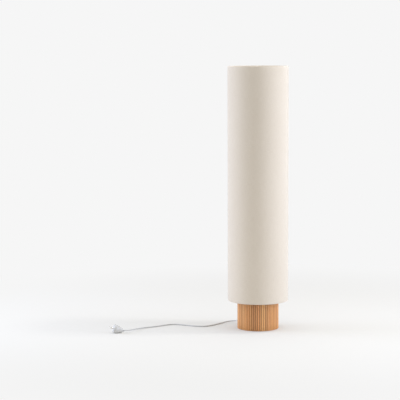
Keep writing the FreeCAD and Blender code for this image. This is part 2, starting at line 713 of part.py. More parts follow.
# ---------------------------------------------------------------- switch
def switch_body():
    """Round snap-in housing with a well that holds the rocker."""
    face = BASE_RADIUS + SWITCH_FLANGE_THICK
    back = Vector(0, DRUM_RADIUS - SWITCH_DEPTH, SWITCH_HEIGHT)
    barrel = cylinder(SWITCH_BARREL, face - back.y, back, BACK)
    flange = cylinder(SWITCH_FLANGE, SWITCH_FLANGE_THICK, Vector(0, BASE_RADIUS, SWITCH_HEIGHT), BACK)
    well_floor = Vector(0, face - ROCKER_WELL, SWITCH_HEIGHT)
    well = cylinder(ROCKER_RADIUS + ROCKER_GAP, ROCKER_WELL, well_floor, BACK)
    half = ROCKER_RADIUS + ROCKER_SOCKET
    sockets = cylinder(ROCKER_PIN + FIT, 2 * half, rocker_axis() - RIGHT * half, RIGHT)
    return fused([barrel, flange]).cut([well, sockets] + switch_blades(FIT))


def rocker_axis():
    return Vector(0, BASE_RADIUS + SWITCH_FLANGE_THICK - ROCKER_SINK, SWITCH_HEIGHT)


def switch_rocker():
    """Round dished rocker on two trunnions, resting with its lower half pressed in."""
    axis = rocker_axis()
    plate = cylinder(ROCKER_RADIUS, ROCKER_THICK, axis - BACK * (ROCKER_THICK / 2), BACK)
    trim = Part.makeSphere(ROCKER_RADIUS, axis)
    dish_start = axis + Vector(-ROCKER_RADIUS, DISH_RADIUS + DISH_BOTTOM, 0)
    dish = cylinder(DISH_RADIUS, 2 * ROCKER_RADIUS, dish_start, RIGHT)
    half = ROCKER_RADIUS + ROCKER_PIN_REACH
    trunnions = cylinder(ROCKER_PIN, 2 * half, axis - RIGHT * half, RIGHT)
    rocker = fused([plate.common(trim).cut(dish), trunnions])
    rocker.rotate(axis, RIGHT, ROCKER_TILT)
    return rocker


def switch_blades(grow=0.0):
    blades = []
    for side in (-1, 1):
        length = BLADE_LENGTH + BLADE_ROOT
        place = Vector(side * BLADE_SPACING / 2, SWITCH_REAR + length / 2, SWITCH_HEIGHT)
        size = Vector(BLADE_THICK + 2 * grow, length + 2 * grow, BLADE_WIDTH + 2 * grow)
        blades.append(box(size, place - UP * (size.z / 2)))
    return blades


# ---------------------------------------------------------------- cord and terminals
def gland_wall_point():
    return Vector(0, DRUM_BORE - GLAND_NUT_THICK - GLAND_TAIL, GLAND_HEIGHT)


def cord_gland():
    start = gland_wall_point()
    barrel = cylinder(GLAND_RADIUS, BASE_RADIUS - start.y, start, BACK)
    flange = cylinder(GLAND_FLANGE, GLAND_FLANGE_THICK, Vector(0, BASE_RADIUS, GLAND_HEIGHT), BACK)
    bore = cylinder(CORD_RADIUS + FIT, GLAND_FACE - start.y, start, BACK)
    return at_gland(fused([barrel, flange]).cut(bore))


def gland_nut():
    return at_gland(tube(GLAND_NUT_RADIUS, GLAND_RADIUS + FIT, GLAND_NUT_THICK, gland_wall_point(), BACK))


def cord_boot():
    base = Vector(0, GLAND_FACE, GLAND_HEIGHT)
    boot = Part.makeCone(BOOT_ROOT, BOOT_TIP, BOOT_LENGTH, base, BACK)
    return at_gland(boot.cut(cylinder(CORD_RADIUS + FIT, BOOT_LENGTH, base, BACK)))


def inner_cord():
    """Cord from the boot's tip through the gland, up over the ballast and into the terminal block."""
    points = [gland_point(EXIT_RADIUS, GLAND_HEIGHT), gland_point(RISER_FOOT, GLAND_HEIGHT),
              gland_point(RISER_HEAD, BLOCK_MIDDLE),
              gland_point(BLOCK_RADIUS + BLOCK_SIZE.y / 2, BLOCK_MIDDLE)]
    return bent_rod(points, CORD_RADIUS, [INNER_BEND, INNER_BEND])[0]


def cord_clamp():
    """Saddle that presses the cord on to a block on the ballast."""
    cord_bottom = BLOCK_MIDDLE - CORD_RADIUS
    block = box(Vector(CLAMP_SIZE.x, CLAMP_SIZE.y, cord_bottom - BALLAST_TOP),
                Vector(0, CLAMP_RADIUS, BALLAST_TOP))
    wall_size = Vector((CLAMP_SIZE.x - CORD_DIAMETER) / 2 - FIT, CLAMP_SIZE.y, CORD_DIAMETER)
    wall_place = (CLAMP_SIZE.x + CORD_DIAMETER + 2 * FIT) / 4
    walls = [box(wall_size, Vector(side * wall_place, CLAMP_RADIUS, cord_bottom)) for side in (-1, 1)]
    bar = box(CLAMP_SIZE, Vector(0, CLAMP_RADIUS, cord_bottom + CORD_DIAMETER))
    holes = [screw_hole(seat, UP * -1) for seat in clamp_screw_seats()]
    return at_gland(fused([block, bar] + walls).cut(holes))


def clamp_screw_seats():
    top = BLOCK_MIDDLE + CORD_RADIUS + CLAMP_SIZE.z
    return [Vector(side * CLAMP_SIZE.x / 3, CLAMP_RADIUS, top) for side in (-1, 1)]


def block_screw_seats():
    pitch = BLOCK_SIZE.x / BLOCK_WAYS
    return [Vector((way - (BLOCK_WAYS - 1) / 2) * pitch, BLOCK_RADIUS, BALLAST_TOP + BLOCK_SIZE.z)
            for way in range(BLOCK_WAYS)]


def terminal_block():
    body = box(BLOCK_SIZE, Vector(0, BLOCK_RADIUS, BALLAST_TOP))
    return at_gland(body.cut([screw_hole(seat, UP * -1) for seat in block_screw_seats()]))


def pole_lead(height, side):
    """Lead to a lampholder: in at the pole's side, up its bore and out through the arm."""
    aside = -side * LEAD_SPREAD
    block_face = BLOCK_RADIUS - BLOCK_SIZE.y / 2
    inside = LEAD_PLACE * -side
    points = [gland_point(block_face, BLOCK_MIDDLE, aside),
              gland_point(block_face - LEAD_STRAIGHT, BLOCK_MIDDLE, aside),
              gland_point(LEAD_RISE_RADIUS, POLE_ENTRY_HEIGHT - LEAD_RISE_DROP, aside / 2),
              inside + UP * POLE_ENTRY_HEIGHT,
              inside + UP * height,
              Vector(side * ARM_REACH, 0, height),
              insert_top(holder_base(height, side))]
    return bent_rod(points, LEAD_RADIUS, [LEAD_BEND] * 4 + [ARM_BEND])[0]


def switch_leads():
    """Two leads from the terminal block to the blades of the switch."""
    leads = []
    block_end = BLOCK_SIZE.x / 2
    for side in (-1, 1):
        row = BLOCK_RADIUS + side * SWITCH_LEAD_SPREAD
        end = Vector(-side * BLADE_SPACING / 2, SWITCH_REAR, SWITCH_HEIGHT)
        points = [gland_point(row, BLOCK_MIDDLE, block_end),
                  gland_point(row, BLOCK_MIDDLE, block_end + SWITCH_LEAD_STRAIGHT),
                  end - BACK * SWITCH_LEAD_BACK - UP * SWITCH_LEAD_DROP,
                  end - BACK * SWITCH_LEAD_END,
                  end]
        leads.append(bent_rod(points, LEAD_RADIUS, [LEAD_BEND] * 3)[0])
    return Part.makeCompound(leads)


# ---------------------------------------------------------------- plug
def plug_placement():
    """Local Z runs from the plug's tail to its face, with the lower side flat on the floor."""
    last = Vector(*CORD_ROUTE[-1])
    level = Vector(PLUG_END.x - last.x, PLUG_END.y - last.y, 0).normalize()
    tail = cord_end() + level * PLUG_BOOT_LENGTH
    axis = level * math.cos(PLUG_SLOPE) + UP * math.sin(PLUG_SLOPE)
    side = Vector(level.y, -level.x, 0)
    return FreeCAD.Placement(tail, FreeCAD.Rotation(side, Vector(), axis, "ZXY")), level


def in_plug(shape):
    moved = shape.copy()
    moved.Placement = plug_placement()[0].multiply(shape.Placement)
    return moved


def plug_axis_pins(grow=0.0):
    start = PLUG_LENGTH - PLUG_POCKET
    length = PLUG_POCKET + PLUG_FACE_PROUD + PIN_LENGTH
    return [cylinder(PIN_RADIUS + grow, length, Vector(side * PIN_SPACING / 2, 0, start)) for side in (-1, 1)]


def earth_strips():
    size = Vector(EARTH_WIDTH, EARTH_THICK, EARTH_LENGTH)
    middle = PLUG_FACE_RADIUS - EARTH_INSET - EARTH_THICK / 2
    return [box(size, Vector(0, side * middle, PLUG_LENGTH - EARTH_LENGTH)) for side in (-1, 1)]


def earth_recesses():
    """Open notches in the rim, whose floors carry the earth strips."""
    depth = EARTH_INSET + EARTH_THICK + OVERRUN
    size = Vector(EARTH_WIDTH + 2 * FIT, depth, EARTH_LENGTH)
    middle = PLUG_FACE_RADIUS + OVERRUN - depth / 2
    return [box(size, Vector(0, side * middle, PLUG_LENGTH - EARTH_LENGTH)) for side in (-1, 1)]


def plug_body():
    cone = turned((0, 0), [(PLUG_TAIL_RADIUS, 0), (PLUG_FACE_RADIUS, PLUG_LENGTH - PLUG_RIM),
                           (PLUG_FACE_RADIUS, PLUG_LENGTH - PLUG_CHAMFER),
                           (PLUG_FACE_RADIUS - PLUG_CHAMFER, PLUG_LENGTH), (0, PLUG_LENGTH)])
    pocket = cylinder(PLUG_FACE_INSET + FIT, PLUG_POCKET, UP * (PLUG_LENGTH - PLUG_POCKET))
    return in_plug(cone.cut([pocket] + earth_recesses()))


def plug_face():
    disc = cylinder(PLUG_FACE_INSET, PLUG_POCKET + PLUG_FACE_PROUD, UP * (PLUG_LENGTH - PLUG_POCKET))
    return in_plug(disc.cut(plug_axis_pins(FIT)))


def plug_pins():
    pins = []
    for pin in plug_axis_pins():
        tips = [edge for edge in pin.Edges if edge.BoundBox.ZMin > PLUG_LENGTH + PIN_LENGTH / 2]
        pins.append(in_plug(pin.makeFillet(PIN_ROUND, tips)))
    return Part.makeCompound(pins)


def plug_boot():
    level = plug_placement()[1]
    boot = Part.makeCone(PLUG_BOOT_TIP, PLUG_BOOT_ROOT, PLUG_BOOT_LENGTH + PLUG_BOOT_SINK, cord_end(), level)
    tail_cut = in_plug(cylinder(PLUG_FACE_RADIUS, PLUG_LENGTH))
    return boot.cut(tail_cut)


def cord_end():
    return Vector(PLUG_END.x, PLUG_END.y, PLUG_TAIL_RADIUS * math.cos(PLUG_SLOPE) + PLUG_LIFT)


def power_cord():
    radii = []
    points = [gland_point(EXIT_RADIUS, GLAND_HEIGHT)] + [Vector(*p) for p in CORD_ROUTE] + [cord_end()]
    solid, path = bent_rod(points, CORD_RADIUS, None, radii)
    section = math.pi * CORD_RADIUS ** 2
    print("cord arc radii:", " ".join("%.0f" % radius for radius in radii))
    print("cord length %.1f, volume / (section x length) = %.5f"
          % (path.Length, solid.Volume / (section * path.Length)))
    return solid


# ---------------------------------------------------------------- all pieces
def lamp_side(name, height, side):
    """Arm, lampholder and bulb at one height."""
    place = holder_base(height, side)
    return {
        name + "_arm": arm(height, side),
        name + "_lead": pole_lead(height, side),
        name + "_holder_cap": holder_cap(place),
        name + "_holder_sleeve": holder_sleeve(place),
        name + "_holder_insert": holder_insert(place),
        name + "_screw_shell": screw_shell(place),
        name + "_centre_contact": centre_contact(place),
        name + "_bulb_cap": bulb_cap(place),
        name + "_bulb_glass": bulb_glass(place),
        name + "_bulb_filaments": bulb_filaments(place),
    }


def all_parts():
    grubs = [grub_screw(LOWER_ARM_HEIGHT, BACK), grub_screw(UPPER_ARM_HEIGHT, BACK),
             grub_screw(FLANGE_GRUB_HEIGHT, RIGHT)]
    parts = {
        "base_drum": base_drum(),
        "base_slats": base_slats(),
        "base_top_disc": base_top_disc(),
        "bottom_plate": bottom_plate(),
        "bottom_plate_screws": screws(plate_screw_seats(), UP),
        "ballast_disc": ballast_disc(),
        "ballast_screws": screws(ballast_screw_seats(), UP),
        "rubber_feet": rubber_feet(),
        "pole": pole(),
        "pole_top_stud": pole_top_stud(),
        "pole_flange": pole_flange(),
        "flange_screws": screws(flange_screw_seats(), UP * -1),
        "grub_screws": Part.makeCompound(grubs),
        "shade_fabric": shade_fabric(),
        "shade_liner": shade_liner(),
        "top_spider": top_spider(),
        "bottom_ring": rim_wire(-1),
        "finial_washer": washer(),
        "finial_nut": finial_nut(),
        "switch_body": switch_body(),
        "switch_rocker": switch_rocker(),
        "switch_terminals": Part.makeCompound(switch_blades()),
        "switch_leads": switch_leads(),
        "cord_gland": cord_gland(),
        "gland_nut": gland_nut(),
        "cord_boot": cord_boot(),
        "inner_cord": inner_cord(),
        "cord_clamp": cord_clamp(),
        "clamp_screws": at_gland(screws(clamp_screw_seats(), UP * -1)),
        "terminal_block": terminal_block(),
        "terminal_screws": at_gland(screws(block_screw_seats(), UP * -1)),
        "power_cord": power_cord(),
        "plug_body": plug_body(),
        "plug_face": plug_face(),
        "plug_pins": plug_pins(),
        "earth_clips": Part.makeCompound([in_plug(strip) for strip in earth_strips()]),
        "plug_boot": plug_boot(),
    }
    parts.update(lamp_side("lower", LOWER_ARM_HEIGHT, -1))
    parts.update(lamp_side("upper", UPPER_ARM_HEIGHT, 1))
    return parts


os.makedirs("parts", exist_ok=True)
for node, shape in all_parts().items():
    shape.exportStep("parts/%s.step" % node)
    print("%-22s solids %3d  valid %s  volume %.0f"
          % (node, len(shape.Solids), shape.isValid(), shape.Volume))
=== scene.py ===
import json
import math
import random

import bmesh
import bpy
from mathutils import Matrix, Vector

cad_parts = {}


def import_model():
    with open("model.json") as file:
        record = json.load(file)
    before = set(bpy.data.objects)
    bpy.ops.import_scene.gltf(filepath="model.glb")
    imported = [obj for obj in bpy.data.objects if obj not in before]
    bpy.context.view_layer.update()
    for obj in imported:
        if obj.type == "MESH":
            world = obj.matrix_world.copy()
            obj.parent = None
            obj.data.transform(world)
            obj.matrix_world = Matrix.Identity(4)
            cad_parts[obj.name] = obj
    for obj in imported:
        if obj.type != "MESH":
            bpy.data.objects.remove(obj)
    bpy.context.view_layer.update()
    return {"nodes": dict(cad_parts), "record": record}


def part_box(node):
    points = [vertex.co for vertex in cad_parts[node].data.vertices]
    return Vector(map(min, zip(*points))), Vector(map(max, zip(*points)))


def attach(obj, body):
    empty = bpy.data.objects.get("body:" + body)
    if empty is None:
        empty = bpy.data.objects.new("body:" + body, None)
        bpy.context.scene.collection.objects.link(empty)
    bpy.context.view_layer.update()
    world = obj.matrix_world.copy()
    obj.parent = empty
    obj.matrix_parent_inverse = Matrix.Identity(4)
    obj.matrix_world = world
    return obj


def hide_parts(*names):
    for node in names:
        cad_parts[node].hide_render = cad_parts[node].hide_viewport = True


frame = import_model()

SCENE = bpy.context.scene
NODES = frame["nodes"]
TAU = 2 * math.pi
random.seed(7)

# ---------------------------------------------------------------- sizes, in metres
SHADE_LOW, SHADE_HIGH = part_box("shade_fabric")
SHADE_RADIUS = SHADE_HIGH[0]
SHADE_BOTTOM = SHADE_LOW[2]
SHADE_TOP = SHADE_HIGH[2]
CLOTH = 0.0007
LINER = 0.0008
RIM_WIRE = 0.00175
ROLL_GAP = 0.0004
HEM_DROP = 0.018               # how far a rolled hem reaches back along the liner
HEM_STRAIGHT = 0.001
HEM_SLOPE = 0.003
HEM_GAP = 0.0001               # liner to the flap
HEM_STEPS = 12
SEAM_WIDTH = 0.012
SEAM_EDGE = 0.0004
SEAM_LIFT = 0.75               # of the cloth's thickness
CLOTH_ROWS = 40
CLOTH_COLUMNS = 288
RIPPLE = 0.00004
RIPPLE_COUNT = 6
THREAD = 0.00052               # pitch of the weave

SLAT_LOW, SLAT_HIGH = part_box("base_slats")
BASE_RADIUS = SLAT_HIGH[0]
SLAT_COUNT = 64
SLAT_DEPTH = 0.005
SLAT_GAP = 0.0002
SLAT_FLANK = 0.0008
SLAT_EASE = 0.0006             # rounding of a slat's ends
SLAT_EASE_SHARE = 0.3          # of the easing, one step in from the end
SLAT_SHRINK = 0.00022          # most that a crest falls short
SLAT_NARROW = 0.00010          # most that a slat's half width falls short
SLAT_ARC_STEPS = 10
SLAT_ROWS = 5
PLY_LAYER = 0.003
CUTTER_LENGTH = 0.06
CUTTER_SIDES = 48

SWITCH_HEIGHT = 0.088
SWITCH_HOLE = 0.01005
GLAND_HEIGHT = 0.014
GLAND_HOLE = 0.00605
GLAND_ANGLE = math.radians(130)
EXIT_RADIUS = 0.130
BOOT_START = 0.105

CORD_DIAMETER = 0.006
PLUG_END = Vector((-0.6585, -0.1226, 0.0))
PLUG_FACE_RADIUS = 0.0210
PLUG_TAIL_RADIUS = 0.0110
PLUG_LENGTH = 0.044
PLUG_RIM = 0.013
PLUG_LIFT = 0.0003
PLUG_BOOT_LENGTH = 0.012
PLUG_BOOT_GAP = 0.0002
PLUG_STEPS = 128
PLUG_ROWS = 26
GRIP_DEPTH = 0.0006            # finger ribs on the plug's sides
GRIP_PITCH = 0.0040
GRIP_START = 0.006
GRIP_END = 0.030
GRIP_FADE = 0.003
GRIP_SIDE = 0.72               # cosine at which the ribs begin
SOCKET_RADIUS = 0.01655        # seat of the plug's face
SOCKET_DEPTH = 0.003
EARTH_HALF_WIDTH = 0.0031
EARTH_LENGTH = 0.0072
EARTH_DEPTH = 0.0019
PLUG_SLOPE = math.atan2(PLUG_FACE_RADIUS - PLUG_TAIL_RADIUS, PLUG_LENGTH - PLUG_RIM)
PLUG_TAIL_HEIGHT = PLUG_TAIL_RADIUS * math.cos(PLUG_SLOPE) + PLUG_LIFT

# The cord's route, the same points as the CAD solid's
CORD_ROUTE = [
    (-0.0951, 0.1134, 0.0140),
    (-0.1086, 0.1266, 0.0124),
    (-0.1254, 0.1364, 0.0100),
    (-0.1450, 0.1380, 0.0072),
    (-0.1635, 0.1305, 0.0048),
    (-0.1810, 0.1120, 0.0034),
    (-0.1990, 0.0870, 0.0032),
    (-0.2190, 0.0610, 0.0032),
    (-0.2430, 0.0360, 0.0032),
    (-0.2720, 0.0200, 0.0032),
    (-0.3040, 0.0280, 0.0032),
    (-0.3380, 0.0440, 0.0032),
    (-0.3740, 0.0630, 0.0032),
    (-0.4120, 0.0800, 0.0032),
    (-0.4460, 0.0750, 0.0032),
    (-0.4800, 0.0450, 0.0032),
    (-0.5140, 0.0190, 0.0032),
    (-0.5450, 0.0010, 0.0032),
    (-0.5720, -0.0160, 0.0036),
    (-0.5900, -0.0380, 0.0050),
    (-0.6045, -0.0630, 0.0070),
    (-0.6160, -0.0880, 0.0088),
    (-0.6275, -0.1065, 0.0102),
    (-0.6415, -0.1180, 0.0108),
]

# ---------------------------------------------------------------- camera, at the photograph's angle
IMAGE_WIDTH = 400
CAMERA_FOCAL_PIXELS = 1485.4
CAMERA_PLACE = Vector((-0.2135, -7.3011, 1.400))
CAMERA_PITCH = 0.1036
CAMERA_YAW = 0.0100
CAMERA_ROLL = -0.0037
SENSOR = 36.0

# ---------------------------------------------------------------- light levels
BACKGROUND = 0.922            # linear value of the photograph's pale ground
AMBIENT = 0.64
COOL = (0.90, 1.01, 1.32)       # light of the side softboxes
FLOOR_SHARE = 0.68             # share of the floor that takes light and shade, the rest is ground
FLOOR_HALF = 30.0
FADE_NEAR, FADE_FAR = 0.7, 2.2 # where the floor begins to run into the ground, and where it has


# ---------------------------------------------------------------- node helpers
class Shader:
    """A material with a Principled shader, and short ways to add and link nodes."""

    def __init__(self, name, color, roughness=0.5, metallic=0.0, **sockets):
        self.material = bpy.data.materials.new(name)
        self.material.use_nodes = True
        self.tree = self.material.node_tree
        self.bsdf = self.tree.nodes["Principled BSDF"]
        self.set("Base Color", color)
        self.set("Roughness", roughness)
        self.set("Metallic", metallic)
        for socket, value in sockets.items():
            self.set(socket.replace("_", " "), value)
        self.place = self.add("ShaderNodeTexCoord").outputs["Object"]

    def set(self, socket, value):
        if isinstance(value, tuple) and len(value) == 3:
            value = (*value, 1.0)
        self.bsdf.inputs[socket].default_value = value

    def add(self, kind, inputs=None, **settings):
        node = self.tree.nodes.new(kind)
        for name, value in settings.items():
            setattr(node, name, value)
        for name, value in (inputs or {}).items():
            self.plug(value, node.inputs[name])
        return node

    def plug(self, value, socket):
        if isinstance(value, bpy.types.NodeSocket):
            self.tree.links.new(value, socket)
        else:
            socket.default_value = value

    def math(self, operation, a, b=0.0, c=0.0):
        return self.add("ShaderNodeMath", {0: a, 1: b, 2: c}, operation=operation).outputs[0]

    def stretched(self, scale, source=None):
        """Object coordinates scaled by (x, y, z)."""
        node = self.add("ShaderNodeMapping", {"Vector": source or self.place, "Scale": scale})
        return node.outputs["Vector"]

    def noise(self, scale, detail=3.0, roughness=0.55, vector=None, distortion=0.0):
        inputs = {"Vector": vector or self.place, "Scale": scale, "Detail": detail,
                  "Roughness": roughness, "Distortion": distortion}
        return self.add("ShaderNodeTexNoise", inputs).outputs["Fac"]

    def white_noise(self, value):
        return self.add("ShaderNodeTexWhiteNoise", {"W": value}, noise_dimensions="1D").outputs["Value"]

    def ramp(self, factor, stops):
        node = self.add("ShaderNodeValToRGB", {"Fac": factor})
        elements = node.color_ramp.elements
        while len(elements) < len(stops):
            elements.new(0.5)
        for element, (position, color) in zip(elements, stops):
            element.position = position
            element.color = (*color, 1.0) if len(color) == 3 else color
        return node.outputs["Color"]

    def span(self, value, low, high, new_low, new_high):
        return self.add("ShaderNodeMapRange", {"Value": value, "From Min": low, "From Max": high,
                                               "To Min": new_low, "To Max": new_high}).outputs["Result"]

    def mix(self, factor, a, b, blend="MIX"):
        node = self.add("ShaderNodeMix", data_type="RGBA", blend_type=blend)
        self.plug(factor, node.inputs[0])
        self.plug(a if isinstance(a, bpy.types.NodeSocket) else (*a, 1.0), node.inputs[6])
        self.plug(b if isinstance(b, bpy.types.NodeSocket) else (*b, 1.0), node.inputs[7])
        return node.outputs[2]

    def color(self, value):
        self.plug(value, self.bsdf.inputs["Base Color"])

    def rough(self, value):
        self.plug(value, self.bsdf.inputs["Roughness"])

    def bump(self, height, distance, strength=1.0):
        node = self.add("ShaderNodeBump", {"Height": height, "Distance": distance, "Strength": strength})
        self.tree.links.new(node.outputs["Normal"], self.bsdf.inputs["Normal"])


# ---------------------------------------------------------------- materials
def around_coordinates(s, radius):
    """(distance round the lamp's axis, height) in metres, for patterns that wrap the column."""
    parts = s.add("ShaderNodeSeparateXYZ", {"Vector": s.place}).outputs
    angle = s.math("ARCTAN2", parts["Y"], parts["X"])
    return s.math("MULTIPLY", angle, radius), parts["Z"], angle


def linen():
    """Off-white plain weave: slubby warp and weft, matt with a soft neutral sheen."""
    s = Shader("linen_weave", (0.70, 0.63, 0.52), 0.9, Sheen_Weight=0.5, Sheen_Roughness=0.5,
               Specular_IOR_Level=0.25)
    s.set("Sheen Tint", (1.0, 1.0, 1.0, 1.0))
    along, height, _ = around_coordinates(s, SHADE_RADIUS)
    flat = s.add("ShaderNodeCombineXYZ", {"X": along, "Y": height}).outputs["Vector"]
    warp = s.math("SINE", s.math("MULTIPLY", along, TAU / THREAD))
    weft = s.math("SINE", s.math("MULTIPLY", height, TAU / THREAD))
    slub_weft = s.noise(1.0, 3.0, 0.6, s.stretched((55.0, 900.0, 1.0), flat))
    slub_warp = s.noise(1.0, 3.0, 0.6, s.stretched((900.0, 40.0, 1.0), flat))
    cloud = s.noise(1.0, 2.0, 0.5, s.stretched((9.0, 5.0, 1.0), flat))
    tone = s.math("ADD", s.math("MULTIPLY", slub_weft, 0.5), s.math("MULTIPLY", slub_warp, 0.5))
    base = s.ramp(tone, [(0.25, (0.605, 0.522, 0.412)), (0.5, (0.670, 0.588, 0.476)),
                         (0.78, (0.735, 0.662, 0.552))])
    clouded = s.mix(s.span(cloud, 0.3, 0.7, 0.0, 0.10), base, (0.75, 0.68, 0.57))
    s.color(clouded)
    weave = s.math("MULTIPLY", s.math("ADD", warp, weft), 0.25)
    height_map = s.math("ADD", weave, s.math("MULTIPLY", tone, 1.4))
    s.bump(height_map, 0.00018, 0.55)
    s.rough(s.span(tone, 0.3, 0.7, 0.95, 0.84))
    return s.material


def liner_film():
    s = Shader("liner_film", (0.80, 0.79, 0.75), 0.6)
    mottled = s.noise(120.0, 2.0)
    s.color(s.mix(mottled, (0.78, 0.77, 0.72), (0.84, 0.83, 0.80)))
    s.bump(mottled, 0.0002, 0.2)
    s.rough(s.span(mottled, 0.3, 0.7, 0.55, 0.68))
    return s.material


def slat_wood():
    """Light hardwood in narrow slats, each with its own tone, fine vertical grain and dark pores; painted
    shade darkens the valleys between slats.
    """
    s = Shader("slat_wood", (0.66, 0.34, 0.17), 0.5, Specular_IOR_Level=0.45, Coat_Weight=0.2)
    s.set("Coat Roughness", 0.35)
    along, height, angle = around_coordinates(s, BASE_RADIUS)
    index = s.math("ROUND", s.math("MULTIPLY", s.math("ADD", angle, math.pi / 2), SLAT_COUNT / TAU))
    pick = s.white_noise(index)
    hue = s.white_noise(s.math("ADD", index, 37.0))
    shift = s.math("MULTIPLY", pick, 3.0)
    grain_place = s.add("ShaderNodeCombineXYZ", {"X": along, "Y": shift, "Z": height}).outputs["Vector"]
    grain = s.noise(1.0, 5.0, 0.62, s.stretched((420.0, 11.0, 7.0), grain_place), 0.35)
    broad = s.noise(1.0, 2.0, 0.5, s.stretched((60.0, 7.0, 3.5), grain_place), 0.8)
    pores = s.noise(1.0, 2.0, 0.5, s.stretched((1500.0, 3.0, 45.0), grain_place))
    tone = s.ramp(pick, [(0.0, (0.520, 0.225, 0.072)), (0.35, (0.700, 0.320, 0.105)),
                         (0.7, (0.860, 0.425, 0.145)), (1.0, (0.970, 0.540, 0.210))])
    reddish = s.mix(s.span(hue, 0.55, 1.0, 0.0, 0.5), tone, (0.76, 0.27, 0.10))
    tan = s.mix(s.span(hue, 0.45, 0.0, 0.0, 0.5), reddish, (0.68, 0.39, 0.145))
    lined = s.mix(s.span(grain, 0.32, 0.72, 0.40, 0.0), tan, (0.42, 0.165, 0.055))
    banded = s.mix(s.span(broad, 0.35, 0.75, 0.0, 0.22), lined, (0.88, 0.58, 0.30))
    dotted = s.mix(s.span(pores, 0.60, 0.72, 0.0, 0.40), banded, (0.28, 0.115, 0.04))
    flat = s.add("ShaderNodeVectorMath", {0: s.place, 1: (1.0, 1.0, 0.0)}, operation="MULTIPLY")
    radius = s.add("ShaderNodeVectorMath", {0: flat.outputs["Vector"]}, operation="LENGTH").outputs["Value"]
    # Painted shade: the colour darkens toward the drum, in the valleys between neighbouring slats, where
    # shade falls.
    groove = s.span(radius, BASE_RADIUS - SLAT_DEPTH + 0.0006, BASE_RADIUS - 0.0014, 0.85, 0.0)
    valley_shaded = s.mix(groove, dotted, (0.20, 0.085, 0.03))
    s.color(valley_shaded)
    s.bump(s.math("ADD", grain, s.math("MULTIPLY", pores, -0.5)), 0.00012, 0.5)
    s.rough(s.span(grain, 0.3, 0.7, 0.56, 0.42))
    return s.material


def ply_wood():
    s = Shader("ply_wood", (0.56, 0.38, 0.22), 0.6)
    grain = s.noise(1.0, 4.0, 0.6, s.stretched((190.0, 22.0, 40.0)), 0.6)
    height = s.add("ShaderNodeSeparateXYZ", {"Vector": s.place}).outputs["Z"]
    layers = s.math("SINE", s.math("MULTIPLY", height, TAU / PLY_LAYER))
    wood = s.ramp(grain, [(0.3, (0.40, 0.25, 0.135)), (0.6, (0.58, 0.395, 0.235)), (0.8, (0.66, 0.47, 0.30))])
    s.color(s.mix(s.span(layers, -1.0, 1.0, 0.0, 0.12), wood, (0.36, 0.22, 0.12)))
    s.bump(grain, 0.0002, 0.4)
    s.rough(s.span(grain, 0.3, 0.7, 0.68, 0.5))
    return s.material


def painted(name, color, dark, roughness):
    """Powder coat: fine orange peel and faint handling marks."""
    s = Shader(name, color, roughness)
    peel = s.noise(1400.0, 2.0)
    marks = s.noise(38.0, 4.0, 0.6)
    s.color(s.mix(s.span(marks, 0.45, 0.75, 0.0, 0.18), color, dark))
    s.bump(peel, 0.00006, 0.35)
    s.rough(s.span(marks, 0.3, 0.7, roughness - 0.06, roughness + 0.08))
    return s.material


def metal(name, color, roughness, brushed=(300.0, 300.0, 30.0)):
    s = Shader(name, color, roughness, 1.0)
    lines = s.noise(1.0, 3.0, 0.6, s.stretched(brushed))
    smudge = s.noise(60.0, 3.0)
    shade = tuple(c * 0.78 for c in color)
    s.color(s.mix(s.span(smudge, 0.4, 0.75, 0.0, 0.5), color, shade))
    s.rough(s.span(lines, 0.3, 0.7, roughness - 0.08, roughness + 0.12))
    s.bump(lines, 0.00004, 0.3)
    return s.material


def raw_iron():
    s = Shader("raw_iron", (0.11, 0.11, 0.115), 0.62, 0.6)
    cast = s.noise(260.0, 5.0, 0.65)
    s.color(s.mix(cast, (0.07, 0.068, 0.07), (0.17, 0.165, 0.16)))
    s.bump(cast, 0.0005, 0.6)
    s.rough(s.span(cast, 0.3, 0.7, 0.75, 0.5))
    return s.material


def moulded(name, color, roughness, grain=900.0, depth=0.00004, **sockets):
    """Moulded plastic: fine spark-eroded grain and a slight unevenness of tone."""
    s = Shader(name, color, roughness, **sockets)
    fine = s.noise(grain, 2.0)
    broad = s.noise(45.0, 2.0)
    darker = tuple(c * 0.93 for c in color)
    s.color(s.mix(s.span(broad, 0.3, 0.7, 0.0, 0.6), color, darker))
    s.bump(fine, depth, 0.4)
    s.rough(s.span(broad, 0.3, 0.7, roughness - 0.05, roughness + 0.07))
    return s.material


def clear_glass():
    s = Shader("clear_glass", (0.97, 0.98, 0.97), 0.03, Transmission_Weight=1.0, IOR=1.46)
    ripple = s.noise(28.0, 2.0)
    s.bump(ripple, 0.0001, 0.25)
    s.rough(s.span(ripple, 0.3, 0.7, 0.01, 0.05))
    return s.material


def filament_rods():
    """Dusty yellow phosphor, worn by the light rods and the stem that carries them."""
    s = Shader("filament_rods", (0.86, 0.66, 0.22), 0.45)
    dust = s.noise(500.0, 3.0)
    s.color(s.mix(dust, (0.80, 0.58, 0.16), (0.90, 0.74, 0.34)))
    s.bump(dust, 0.0001, 0.4)
    s.rough(s.span(dust, 0.3, 0.7, 0.4, 0.6))
    return s.material


def cable_sheath():
    s = Shader("cable_sheath", (0.60, 0.60, 0.60), 0.42, Specular_IOR_Level=0.4)
    scuffs = s.noise(70.0, 4.0, 0.6)
    s.color(s.mix(s.span(scuffs, 0.35, 0.75, 0.0, 1.0), (0.61, 0.605, 0.59), (0.53, 0.527, 0.51)))
    s.bump(s.noise(1100.0, 2.0), 0.00004, 0.4)
    s.rough(s.span(scuffs, 0.3, 0.7, 0.38, 0.52))
    return s.material


